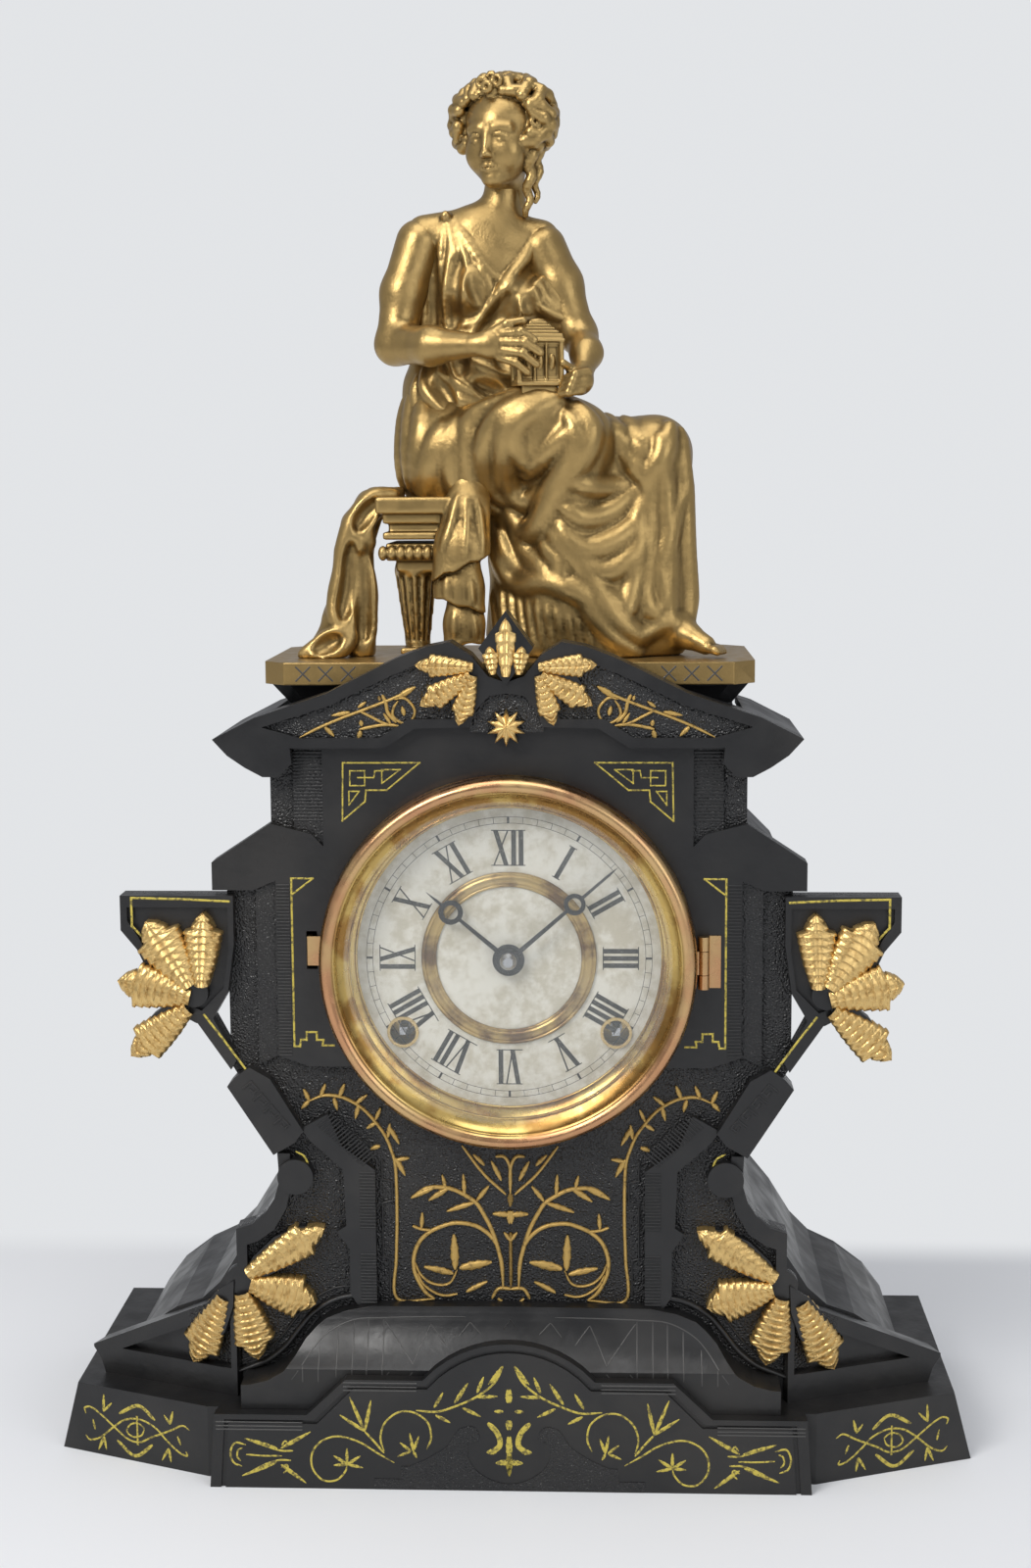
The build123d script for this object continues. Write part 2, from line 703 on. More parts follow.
def bezel_hinge_knuckle():
    """Middle barrel with a leaf that wraps the bezel's edge."""
    half = hinge_half_length * hinge_middle_share
    barrel = post(hinge_x, hinge_y, hinge_barrel_radius, dial_height - half, dial_height + half)
    arm = block(bezel_radius * hinge_leaf_share, hinge_x, hinge_y - hinge_barrel_radius / 2,
                hinge_y + hinge_barrel_radius / 2, dial_height - half, dial_height + half)
    arm = arm - disc(0, dial_height, bezel_radius + push_gap, bezel_lip, front_plane)
    bore = post(hinge_x, hinge_y, hinge_pin_radius + running_gap, dial_height - hinge_half_length,
                dial_height + hinge_half_length)
    return barrel + arm - bore


def bezel_hinge_bracket():
    """Two end barrels on a leaf that is screwed to the case front."""
    middle = hinge_half_length * hinge_middle_share
    body = Part()
    for bottom, top in (
        (dial_height - hinge_half_length, dial_height - middle - open_gap),
        (dial_height + middle + open_gap, dial_height + hinge_half_length),
    ):
        body = body + post(hinge_x, hinge_y, hinge_barrel_radius, bottom, top)
        body = body + block(hinge_x, hinge_x + hinge_barrel_radius, hinge_y, front_plane, bottom, top)
    leaf_plate = block(hinge_x + hinge_barrel_radius, hinge_x + hinge_leaf_reach,
                       front_plane - plate_thickness / 2, front_plane, dial_height - hinge_half_length,
                       dial_height + hinge_half_length)
    bore = post(hinge_x, hinge_y, hinge_pin_radius + push_gap, dial_height - hinge_half_length - overrun,
                dial_height + hinge_half_length + overrun)
    return body + leaf_plate - bore


def bezel_hinge_pin():
    """Steel pin through the three barrels."""
    return post(hinge_x, hinge_y, hinge_pin_radius, dial_height - hinge_half_length,
                dial_height + hinge_half_length)


def bezel_latch():
    """Brass tongue on the bezel's edge that springs into a slot in the front."""
    left, right, bottom, top = latch_slot
    tab = block(-right + open_gap * 2, -bezel_radius * latch_root_share, bezel_foot - plate_thickness,
                bezel_foot - open_gap, bottom + latch_inset, top - latch_inset)
    tab = tab - disc(0, dial_height, bezel_radius + push_gap, bezel_lip, front_plane)
    hook = block(-right + open_gap * 2, -right + open_gap * 2 + plate_thickness,
                 bezel_foot - plate_thickness, front_plane + casting_thickness / 2, bottom + latch_inset,
                 top - latch_inset)
    return tab + hook


# The dial

dial_front = front_plane + 5.5
paper_thickness = 0.4
pan_thickness = 0.8
dial_pan_radius = dial_hole_radius - 3 * open_gap
dial_post_places_shares = [(0.65, 0.42), (-0.65, 0.42), (0.26, -0.77), (-0.26, -0.77)]
eyelet_outer_radius = 7.0
eyelet_bore_radius = 5.7
inner_ring_radius = 38.6
inner_ring_bore = 32.0
inner_ring_shares = [(-1.0, 0.0), (-1.0, 0.3), (-0.4, 0.85), (0.4, 0.85), (1.0, 0.3), (1.0, 0.0)]
sight_ring_edge = 1.0
eyelet_stand = 1.0
pipe_hole_share = 1.3


def winding_places():
    """X and Z of the time side's and the strike side's winding arbor."""
    height = dial_height - winding_drop
    return (winding_half_span, height), (-winding_half_span, height)


def dial_pan():
    """Pressed brass pan behind the paper, with a rim and four posts to the movement."""
    front = dial_front + paper_thickness
    back = front + pan_thickness
    body = disc(0, dial_height, dial_pan_radius, front, back)
    rim = disc(0, dial_height, dial_pan_radius, front, casting_back)
    rim = rim - disc(0, dial_height, dial_pan_radius - pan_thickness, front - overrun,
                     casting_back + overrun)
    body = body + rim
    for across, up in dial_post_places_shares:
        x = across * dial_pan_radius
        z = dial_height + up * dial_pan_radius
        body = body + disc(x, z, winding_arbor_radius, back, front_plate_face)
    for x, z in winding_places():
        body = body - disc(x, z, eyelet_bore_radius + push_gap + pan_thickness, front - overrun,
                           back + overrun)
    return body - disc(0, dial_height, hour_pipe_radius * pipe_hole_share, front - overrun, back + overrun)


def dial_paper():
    """Printed paper disc with its three holes."""
    body = disc(0, dial_height, dial_pan_radius, dial_front, dial_front + paper_thickness)
    for x, z in winding_places():
        body = body - disc(x, z, eyelet_bore_radius + push_gap + pan_thickness, dial_front - overrun,
                           dial_front + paper_thickness + overrun)
    return body - disc(0, dial_height, hour_pipe_radius * pipe_hole_share, dial_front - overrun,
                       dial_front + paper_thickness + overrun)


def sight_ring():
    """Coned brass ring between the front's opening and the dial."""
    outer = dial_pan_radius
    return turned(0, dial_height, [
        (sight_radius, dial_front), (sight_radius, dial_front - sight_ring_edge),
        (outer - sight_ring_edge, front_plane + sight_ring_edge), (outer, front_plane + sight_ring_edge),
        (outer, dial_front),
    ])


def inner_ring():
    """Rounded brass ring that frames the dial's centre."""
    middle = (inner_ring_radius + inner_ring_bore) / 2
    rise = (inner_ring_radius - inner_ring_bore) / 2
    profile = [(middle + rise * out, dial_front - rise * up) for out, up in inner_ring_shares]
    return turned(0, dial_height, profile)


def winding_eyelets():
    """Two brass eyelets that line the winding holes."""
    back = dial_front + paper_thickness + pan_thickness
    rings = []
    for x, z in winding_places():
        rings.append(turned(x, z, [
            (eyelet_bore_radius, dial_front - eyelet_stand),
            (eyelet_outer_radius, dial_front - eyelet_stand),
            (eyelet_outer_radius, dial_front), (eyelet_bore_radius + pan_thickness, dial_front),
            (eyelet_bore_radius + pan_thickness, back), (eyelet_bore_radius, back),
        ]))
    return rings


# The hands and the motion work behind the dial

hand_thickness = 0.8
hour_pipe_radius = 4.0
minute_pipe_radius = 3.0
hour_hand_length = 47.0
minute_hand_length = 63.5
hour_hand_angle = 310.0
minute_hand_angle = 49.0
hour_wheel_teeth = 48
minute_pinion_teeth = 12
minute_wheel_teeth = 36
cannon_teeth = 12
hour_module = 0.6
motion_centres = hour_module * (hour_wheel_teeth + minute_pinion_teeth) / 2
minute_module = 2 * motion_centres / (minute_wheel_teeth + cannon_teeth)
minute_wheel_heading = 160.0
hour_hand_back = -56.2
minute_hand_back = -58.4
hour_wheel_front = -48.6
wheel_thickness = 1.5
addendum_share = 0.72
dedendum_share = 1.2
nut_height = 2.8
hour_moon_place = 33.0
hour_moon_radius = 5.4
minute_moon_place = 38.6
minute_moon_radius = 4.8
blade_half_width = 1.1
hub_share = 1.75
moon_bore_share = 0.6
stud_collar_height = 0.8
stud_cap_height = 1.0
cannon_stand = 1.0
minute_wheel_stand = 1.5


def gear(x, z, teeth, module, front, back, phase, bore):
    """Wheel or pinion with slim teeth, one of them at the phase angle from +X."""
    pitch_radius = module * teeth / 2
    pitch = 2 * pi / teeth
    root = pitch_radius - dedendum_share * module
    tip = pitch_radius + addendum_share * module
    tooth_shares = [(root, -0.2), (pitch_radius, -0.13), (tip, -0.06), (tip, 0.06), (pitch_radius, 0.13),
                    (root, 0.2)]
    outline = []
    for tooth in range(teeth):
        for radius, share in tooth_shares:
            angle = radians(phase) + (tooth + share) * pitch
            outline.append((x + radius * cos(angle), z + radius * sin(angle)))
    body = slab(outline, front, back)
    if bore:
        body = body - disc(x, z, bore, front - overrun, back + overrun)
    return body


def mesh_phase(driver, driver_teeth, driver_phase, driven, driven_teeth):
    """Phase in degrees that sets the driven wheel's gap on the driver's tooth."""
    heading = degrees(atan2(driven[1] - driver[1], driven[0] - driver[0]))
    driver_pitch = 360 / driver_teeth
    driven_pitch = 360 / driven_teeth
    ahead = ((heading - driver_phase) / driver_pitch) % 1
    return heading + 180 + (ahead + 0.5) * driven_pitch


def meshing_place(first, first_reach, second, second_reach, side):
    """Place at two given distances from two others, left (+1) or right (-1) of the line between."""
    span_x = second[0] - first[0]
    span_z = second[1] - first[1]
    span = hypot(span_x, span_z)
    along = (first_reach ** 2 - second_reach ** 2 + span ** 2) / (2 * span)
    away = side * (first_reach ** 2 - along ** 2) ** 0.5
    return (
        first[0] + (along * span_x - away * span_z) / span,
        first[1] + (along * span_z + away * span_x) / span,
    )


def centre():
    """X and Z of the hands' axis."""
    return (0, dial_height)


def minute_wheel_place():
    """X and Z of the minute wheel's stud."""
    turn = radians(minute_wheel_heading)
    return (motion_centres * cos(turn), dial_height + motion_centres * sin(turn))


def hand(length, angle, moon_place, moon_radius, back, bore):
    """Blued steel moon hand, cut from sheet and turned clockwise from twelve."""
    front = back - hand_thickness
    waist = blade_half_width / 2
    blade = slab([
        (-blade_half_width, 0), (-waist, length - moon_radius), (0, length), (waist, length - moon_radius),
        (blade_half_width, 0),
    ], front, back)
    moon = disc(0, moon_place, moon_radius, front, back)
    hub = disc(0, 0, bore * hub_share, front, back)
    body = blade + moon + hub
    body = body - disc(0, moon_place, moon_radius * moon_bore_share, front - overrun, back + overrun)
    body = body - disc(0, 0, bore, front - overrun, back + overrun)
    return Pos(0, 0, dial_height) * Rot(0, angle, 0) * body


def hour_hand():
    """Short hand, pressed on the hour pipe."""
    return hand(hour_hand_length, hour_hand_angle, hour_moon_place, hour_moon_radius, hour_hand_back,
                hour_pipe_radius + push_gap)


def minute_hand():
    """Long hand, pressed on the minute pipe."""
    return hand(minute_hand_length, minute_hand_angle, minute_moon_place, minute_moon_radius,
                minute_hand_back, minute_pipe_radius + push_gap)


def hour_wheel():
    """Hour wheel on its pipe."""
    x, z = centre()
    bore = minute_pipe_radius + running_gap
    back = hour_wheel_front + wheel_thickness
    phase = mesh_phase(minute_wheel_place(), minute_pinion_teeth, 0, centre(), hour_wheel_teeth)
    wheel = gear(x, z, hour_wheel_teeth, hour_module, hour_wheel_front, back, phase, 0)
    pipe = disc(x, z, hour_pipe_radius, hour_hand_back - hand_thickness - open_gap, hour_wheel_front)
    return wheel + pipe - disc(x, z, bore, minute_hand_back, back + overrun)


def minute_pipe():
    """Cannon pinion with the pipe that carries the minute hand."""
    x, z = centre()
    back = front_plate_face - cannon_stand
    front = back - 2 * wheel_thickness
    phase = mesh_phase(minute_wheel_place(), minute_wheel_teeth, 0, centre(), cannon_teeth)
    pinion = gear(x, z, cannon_teeth, minute_module, front, back, phase, 0)
    pipe = disc(x, z, minute_pipe_radius, minute_hand_back - hand_thickness - open_gap, front)
    end = minute_hand_back - 3 * hand_thickness
    return pinion + pipe - disc(x, z, centre_arbor_radius + running_gap, end, back + overrun)


def minute_wheel():
    """Minute wheel and its pinion in one piece, loose on a stud."""
    x, z = minute_wheel_place()
    back = front_plate_face - minute_wheel_stand
    front = back - wheel_thickness
    wheel = gear(x, z, minute_wheel_teeth, minute_module, front, back, 0, 0)
    pinion = gear(x, z, minute_pinion_teeth, hour_module, hour_wheel_front - open_gap, front, 0, 0)
    bore = disc(x, z, arbor_radius + running_gap, hour_wheel_front - overrun, back + overrun)
    return wheel + pinion - bore


def minute_wheel_stud():
    """Stud of the minute wheel, with a collar behind the wheel and a cap in front."""
    x, z = minute_wheel_place()
    tip = hour_wheel_front - stud_cap_height
    stud = disc(x, z, arbor_radius, tip, front_plate_face)
    collar = disc(x, z, 2 * arbor_radius, front_plate_face - stud_collar_height, front_plate_face)
    cap = disc(x, z, arbor_radius + plate_thickness / 2, tip - stud_cap_height, tip)
    return stud + collar + cap


def hand_nut():
    """Domed brass nut in front of the minute hand."""
    x, z = centre()
    back = minute_hand_back - hand_thickness
    radius = minute_pipe_radius + hand_thickness
    nut = turned(x, z, [(0, back), (radius, back), (radius, back - nut_height / 3),
                        (radius * hub_share / 3, back - nut_height), (0, back - nut_height)])
    return nut - disc(x, z, minute_pipe_radius + push_gap, back - open_gap - push_gap, back + overrun)


# The movement's frame

back_plate_face = front_plate_face + plate_thickness + plate_space
plate_foot = 160.0
inner_face = front_plate_face + plate_thickness
pillar_radius = 3.4
pillar_nut_radius = 3.8
pillar_nut_height = 2.1
bracket_half_height = 5.0
bracket_inset = 14.0
bracket_near = 49.6
bracket_riser = 79.4
bracket_far = 90.0
pillar_places_shares = [(0.93, 0.045), (0.93, 0.955), (-0.93, 0.045), (-0.93, 0.955)]


def pillar_places():
    """X and Z of the four pillars."""
    return points(pillar_places_shares, plate_half_width, plate_height, plate_foot)


great_teeth = 60
great_module = 1.0
second_pinion_teeth = 15
second_teeth = 45
second_module = 0.8
centre_pinion_teeth = 15
centre_teeth = 84
centre_module = 0.5
third_pinion_teeth = 8
third_teeth = 84
third_module = 0.45
escape_pinion_teeth = 8
escape_teeth = 42
escape_radius = 15.0
pin_wheel_teeth = 54
pin_wheel_module = 0.6
warning_pinion_teeth = 9
warning_teeth = 48
warning_module = 0.5
fly_pinion_teeth = 8
third_x = -15.0
pallet_reach = 19.8
pin_wheel_heading = 75.0
warning_heading = 98.0
fly_heading = 82.0
hammer_place = (-12.0, 186.0)


def reach(teeth, pinion_teeth, module):
    """Distance between the centres of a wheel and the pinion it drives."""
    return module * (teeth + pinion_teeth) / 2


def step_from(place, distance, heading):
    """Place at a distance along a heading in degrees from +X."""
    turn = radians(heading)
    return (place[0] + distance * cos(turn), place[1] + distance * sin(turn))


def time_places():
    """Axes of the time train: great, second, centre, third, escape wheel and pallets."""
    great = winding_places()[0]
    second = meshing_place(great, reach(great_teeth, second_pinion_teeth, great_module), centre(),
                           reach(second_teeth, centre_pinion_teeth, second_module), -1)
    to_third = reach(centre_teeth, third_pinion_teeth, centre_module)
    third = (third_x, dial_height + (to_third ** 2 - third_x ** 2) ** 0.5)
    to_escape = reach(third_teeth, escape_pinion_teeth, third_module)
    escape = (0, third[1] + (to_escape ** 2 - third_x ** 2) ** 0.5)
    pallets = (0, escape[1] + pallet_reach)
    return {"great": great, "second": second, "centre": centre(), "third": third, "escape": escape,
            "pallets": pallets}


def strike_places():
    """Axes of the strike train: great, pin and warning wheel, fly and hammer."""
    great = winding_places()[1]
    pin = step_from(great, reach(great_teeth, second_pinion_teeth, great_module), pin_wheel_heading)
    warning = step_from(pin, reach(pin_wheel_teeth, warning_pinion_teeth, pin_wheel_module), warning_heading)
    fly = step_from(warning, reach(warning_teeth, fly_pinion_teeth, warning_module), fly_heading)
    return {"great": great, "pin": pin, "warning": warning, "fly": fly, "hammer": hammer_place}


def plate_with_holes(front, centre_hole):
    """Brass plate with pillar holes, pivot holes and lightening windows."""
    back = front + plate_thickness
    body = block(-plate_half_width, plate_half_width, front, back, plate_foot, plate_foot + plate_height)
    holes = []
    for name, place in list(time_places().items()) + list(strike_places().items()):
        radius = arbor_radius
        if name == "great":
            radius = winding_arbor_radius
        if name == "centre":
            radius = centre_hole
        holes.append(disc(place[0], place[1], radius + running_gap, front - overrun, back + overrun))
    for x, z in pillar_places():
        holes.append(disc(x, z, pillar_radius / 2 + push_gap, front - overrun, back + overrun))
    return body - holes


def front_movement_plate():
    """Front plate of the movement, with the minute wheel's stud riveted in."""
    return plate_with_holes(front_plate_face, centre_arbor_radius) + minute_wheel_stud()


def rear_movement_plate():
    """Rear plate of the movement, with the slit post that the pendulum hangs from."""
    return plate_with_holes(back_plate_face, centre_arbor_radius) + suspension_post()


def pillars():
    """Four turned pillars with shouldered ends."""
    body = Part()
    for x, z in pillar_places():
        body = body + disc(x, z, pillar_radius, inner_face, back_plate_face)
        body = body + disc(x, z, pillar_radius / 2, front_plate_face, back_plate_face + plate_thickness)
    return body


def pillar_nuts():
    """Eight hexagon nuts on the pillars' ends."""
    body = Part()
    for x, z in pillar_places():
        for front in (front_plate_face - pillar_nut_height, back_plate_face + plate_thickness):
            hexagon = Plane(origin=(x, front, z), z_dir=(0, 1, 0)) * RegularPolygon(pillar_nut_radius, 6)
            body = body + extrude(hexagon, amount=pillar_nut_height)
    return body


def movement_brackets():
    """Four angle brackets that hang the movement in the front casting."""
    body = Part()
    for x, z in pillar_places():
        side = 1 if x > 0 else -1
        middle = z - bracket_inset if z > dial_height else z + bracket_inset
        bottom = middle - bracket_half_height
        top = middle + bracket_half_height
        strap = block(bracket_near, bracket_riser, front_plate_face - plate_thickness, front_plate_face,
                      bottom, top)
        upright = block(bracket_riser - plate_thickness, bracket_riser, casting_back, front_plate_face,
                        bottom, top)
        foot = block(bracket_riser, bracket_far, casting_back, casting_back + plate_thickness, bottom, top)
        piece = strap + upright + foot
        body = body + (piece if side > 0 else mirror(piece, about=Plane.YZ))
    return body


# The mainsprings and the winding arbors

spring_inner_radius = 6.0
spring_step = 1.15
spring_half_turns = 20
spring_thickness = 0.45
spring_width = 18.0
spring_front = 2.0
ratchet_front = 21.0
ratchet_teeth = 24
ratchet_radius = 11.0
great_front = 24.4
ratchet_depth_share = 0.16
ratchet_tooth_share = 0.92
winding_square_share = 0.68
arbor_stand = 1.0


def spiral(x, z, y, inner_radius, step, half_turns):
    """Flat spiral of half circles in X and Z, each one step larger than the last."""
    arcs = []
    middle = x
    radius = inner_radius
    side = 1
    for turn in range(half_turns):
        start = (middle + side * radius, y, z)
        top = (middle, y, z + side * radius)
        end = (middle - side * radius, y, z)
        arcs.append(ThreePointArc(start, top, end))
        middle = middle + side * step
        radius = radius + step
        side = -side
    return Wire(arcs)


def mainspring(x, z):
    """Coiled steel ribbon, wound outwards from the arbor."""
    front = inner_face + spring_front
    inner = spiral(x, z, front, spring_inner_radius, spring_step, spring_half_turns)
    outer = spiral(x, z, front, spring_inner_radius + spring_thickness, spring_step, spring_half_turns)
    start_edge = Line(inner @ 0, outer @ 0)
    end_edge = Line(outer @ 1, inner @ 1)
    face = make_face([*inner.edges(), end_edge, *outer.edges(), start_edge])
    return extrude(face, amount=spring_width, dir=(0, 1, 0))


def ratchet(x, z, front, back):
    """Saw-toothed wheel for the click."""
    outline = []
    root = ratchet_radius * (1 - ratchet_depth_share)
    for tooth in range(ratchet_teeth):
        start = 2 * pi * tooth / ratchet_teeth
        end = 2 * pi * (tooth + ratchet_tooth_share) / ratchet_teeth
        outline.append((x + root * cos(start), z + root * sin(start)))
        outline.append((x + ratchet_radius * cos(end), z + ratchet_radius * sin(end)))
    return slab(outline, front, back)


def winding_arbor(x, z):
    """Steel arbor with a spring drum, a ratchet and a square end for the key."""
    rear = back_plate_face + plate_thickness + arbor_stand
    square_front = dial_front + paper_thickness + pan_thickness + open_gap
    round_front = front_plate_face - plate_thickness
    body = disc(x, z, winding_arbor_radius, round_front, rear)
    half = winding_arbor_radius * winding_square_share
    body = body + block(x - half, x + half, square_front, round_front, z - half, z + half)
    drum_back = inner_face + spring_front + spring_width
    body = body + disc(x, z, spring_inner_radius - open_gap, inner_face + spring_front, drum_back)
    return body + ratchet(x, z, inner_face + ratchet_front, inner_face + ratchet_front + wheel_thickness)


def great_wheel(x, z, phase):
    """Great wheel, loose on the winding arbor, with five spokes and a click post."""
    front = inner_face + great_front
    back = front + 2 * wheel_thickness
    body = gear(x, z, great_teeth, great_module, front, back, phase, winding_arbor_radius + running_gap)
    click_x, click_z = click_place(x, z)
    return body + disc(click_x, click_z, arbor_radius, inner_face + ratchet_front, front)


click_reach = 18.0
click_nose_share = 0.97
click_tip_shares = [(2.2, 1.0), (1.5, 0.985)]


def click_place(x, z):
    """X and Z of the click's post on the great wheel."""
    return (x, z + click_reach)


def click(x, z):
    """Pawl whose nose rests between two teeth of the ratchet."""
    pivot_x, pivot_z = click_place(x, z)
    front = inner_face + ratchet_front
    back = front + wheel_thickness
    nose = ratchet_radius * click_nose_share
    width = arbor_radius * 2
    tip = [(pivot_x + width * across, z + nose * up) for across, up in click_tip_shares]
    arm = slab([(pivot_x - width, pivot_z), (pivot_x + width, pivot_z)] + tip, front, back)
    body = arm + disc(pivot_x, pivot_z, width, front, back)
    body = body - disc(pivot_x, pivot_z, arbor_radius + running_gap, front - overrun, back + overrun)
    return body - ratchet(x, z, front - overrun, back + overrun)


# The train wheels

second_front = 28.6
second_pinion_front = 23.4
centre_wheel_front = 10.0
third_front = 15.0
escape_front = 20.0
pivot_stand = 0.5
hub_radius = 1.9
pinion_gap = 2.0
great_pinion_length = 4.5
thin_pinion_length = 3.5
short_pinion_length = 3.2
centre_pinion_front = 28.1
third_pinion_front = 9.0
escape_pinion_front = 14.0
escape_tooth_shares = [(0.86, 0.0), (1.0, 0.3), (0.86, 0.35)]


def arbor(place, radius, front, back):
    """Steel arbor of one wheel."""
    return disc(place[0], place[1], radius, front, back)


def train_arbor(place):
    """Arbor that reaches through both plates."""
    rear = back_plate_face + plate_thickness + pivot_stand
    return arbor(place, arbor_radius, front_plate_face - pivot_stand, rear)


def wheel_on_arbor(place, teeth, module, offset, pinion_teeth, pinion_module, pinion_offset, pinion_length,
                   phase):
    """Wheel and pinion on one arbor; offsets are from the front plate's inner face."""
    x, z = place
    front = inner_face + offset
    pinion_front = inner_face + pinion_offset
    wheel = gear(x, z, teeth, module, front, front + wheel_thickness, 0, 0)
    pinion = gear(x, z, pinion_teeth, pinion_module, pinion_front, pinion_front + pinion_length, phase, 0)
    near = min(front + wheel_thickness, pinion_front + pinion_length)
    hub = arbor(place, hub_radius, near, max(front, pinion_front))
    return train_arbor(place) + wheel + pinion + hub


def second_wheel():
    """Second wheel of the time train."""
    at = time_places()
    phase = mesh_phase(at["great"], great_teeth, 0, at["second"], second_pinion_teeth)
    return wheel_on_arbor(at["second"], second_teeth, second_module, second_front, second_pinion_teeth,
                          great_module, second_pinion_front, great_pinion_length, phase)


def centre_wheel():
    """Centre wheel on the arbor that carries the hands."""
    at = time_places()
    x, z = at["centre"]
    phase = mesh_phase(at["second"], second_teeth, 0, at["centre"], centre_pinion_teeth)
    front = inner_face + centre_wheel_front
    wheel = gear(x, z, centre_teeth, centre_module, front, front + wheel_thickness, 0, 0)
    pinion_front = inner_face + centre_pinion_front
    pinion = gear(x, z, centre_pinion_teeth, second_module, pinion_front, pinion_front + 2 * wheel_thickness,
                  phase, 0)
    rear = back_plate_face + plate_thickness + arbor_stand
    body = arbor(at["centre"], centre_arbor_radius, minute_hand_back, rear)
    return body + wheel + pinion


def third_wheel():
    """Third wheel of the time train."""
    at = time_places()
    phase = mesh_phase(at["centre"], centre_teeth, 0, at["third"], third_pinion_teeth)
    return wheel_on_arbor(at["third"], third_teeth, third_module, third_front, third_pinion_teeth,
                          centre_module, third_pinion_front, thin_pinion_length, phase)


def escape_wheel():
    """Escape wheel with leaning teeth, on its pinion arbor."""
    at = time_places()
    x, z = at["escape"]
    phase = mesh_phase(at["third"], third_teeth, 0, at["escape"], escape_pinion_teeth)
    front = inner_face + escape_front
    pitch = 2 * pi / escape_teeth
    outline = []
    for tooth in range(escape_teeth):
        for out, along in escape_tooth_shares:
            angle = (tooth + along) * pitch
            outline.append((x + escape_radius * out * cos(angle), z + escape_radius * out * sin(angle)))
    wheel = slab(outline, front, front + wheel_thickness)
    pinion_front = inner_face + escape_pinion_front
    pinion = gear(x, z, escape_pinion_teeth, third_module, pinion_front, pinion_front + thin_pinion_length,
                  phase, 0)
    return train_arbor(at["escape"]) + wheel + pinion


def crutch_front():
    """Y of the crutch's front face, behind the rear plate."""
    return back_plate_face + plate_thickness + crutch_stand


def crutch(x, z):
    """Flat arm down from the pallets' arbor, with a fork round the pendulum's rod."""
    front = crutch_front()
    foot = z - crutch_length
    back = front + crutch_thickness
    top = foot + crutch_thickness
    body = block(x - crutch_thickness, x + crutch_thickness, front, back, foot, z)
    fork_back = pendulum_y + pendulum_rod_radius + crutch_thickness
    inner = pendulum_rod_radius + open_gap
    outer = inner + crutch_thickness
    prong = block(x + inner, x + outer, front, fork_back, foot, top)
    bridge = block(x - outer, x + outer, front, back, foot, top)
    return body + both_sides(prong) + bridge


def pallets():
    """Strip pallets, their arbor and the crutch that pushes the pendulum."""
    x, z = time_places()["pallets"]
    escape_x, escape_z = time_places()["escape"]
    front = inner_face + escape_front
    back = front + wheel_thickness
    rear = crutch_front() + crutch_thickness
    body = arbor((x, z), arbor_radius, front_plate_face - pallet_pivot_stand, rear)
    body = body + disc(x, z, arbor_radius * 2, front - pallet_boss_stand, back + pallet_boss_stand)
    clear = escape_radius + pallet_lift
    tip_x = x + clear * sin(radians(pallet_half_angle))
    tip_z = escape_z + clear * cos(radians(pallet_half_angle))
    tip = [(tip_x + pallet_arm_width * out, tip_z + pallet_arm_width * up) for out, up in pallet_arm_shares]
    arm = slab([(x, z + pallet_arm_width)] + tip + [(x, z - pallet_arm_width)], front, back)
    strap = both_sides(arm) - disc(escape_x, escape_z, clear, front - overrun, back + overrun)
    return body + strap + crutch(x, z)


pallet_lift = 1.3
pallet_half_angle = 40.7
pallet_arm_width = 1.68
pallet_arm_shares = [(1.4, 2.4), (1.4, -0.5), (0.0, 0.0), (-1 / 3, 1.0)]
pallet_pivot_stand = 0.5
pallet_boss_stand = 1.0
crutch_stand = 2.0
crutch_thickness = 1.0
crutch_length = 38.0
pendulum_y = 3.0
pendulum_rod_radius = 0.9
suspension_thickness = 0.2
suspension_half_width = 2.0
suspension_drop = 8.0
suspension_rise = 6.0
suspension_half_block = 3.5
suspension_slit = 5.5
clamp_half_width = 2.4
clamp_length = 7.0
bob_half_thickness = 4.8
bob_edge = 0.9
rating_nut_radius = 3.2
rating_nut_height = 3.0
rod_tail = 6.0


def suspension_post():
    """Brass post, slit from below for the pendulum's spring."""
    x, z = time_places()["pallets"]
    bottom = z + suspension_half_width
    back = pendulum_y + suspension_half_block
    body = block(x - suspension_half_block, x + suspension_half_block, back_plate_face + plate_thickness,
                 back, bottom, bottom + suspension_slit + suspension_half_width)
    reach_x = suspension_half_block + overrun
    half_slit = suspension_thickness / 2 + running_gap
    return body - block(x - reach_x, x + reach_x, pendulum_y - half_slit, pendulum_y + half_slit,
                        bottom - overrun, bottom + suspension_slit)


def pendulum_rod():
    """Flat hanging spring, its clamp and the wire rod with a thread at the foot."""
    x, z = time_places()["pallets"]
    half = suspension_thickness / 2
    spring_foot = z - suspension_drop
    spring = block(x - suspension_half_width, x + suspension_half_width, pendulum_y - half,
                   pendulum_y + half, spring_foot, z + suspension_rise)
    clamp_half = clamp_length / 2
    clamp = block(x - clamp_half_width, x + clamp_half_width, pendulum_y - pendulum_rod_radius,
                  pendulum_y + pendulum_rod_radius, spring_foot - clamp_half, spring_foot + clamp_half)
    foot = z - pendulum_length - bob_radius - rod_tail
    return spring + clamp + post(x, pendulum_y, pendulum_rod_radius, foot, spring_foot)


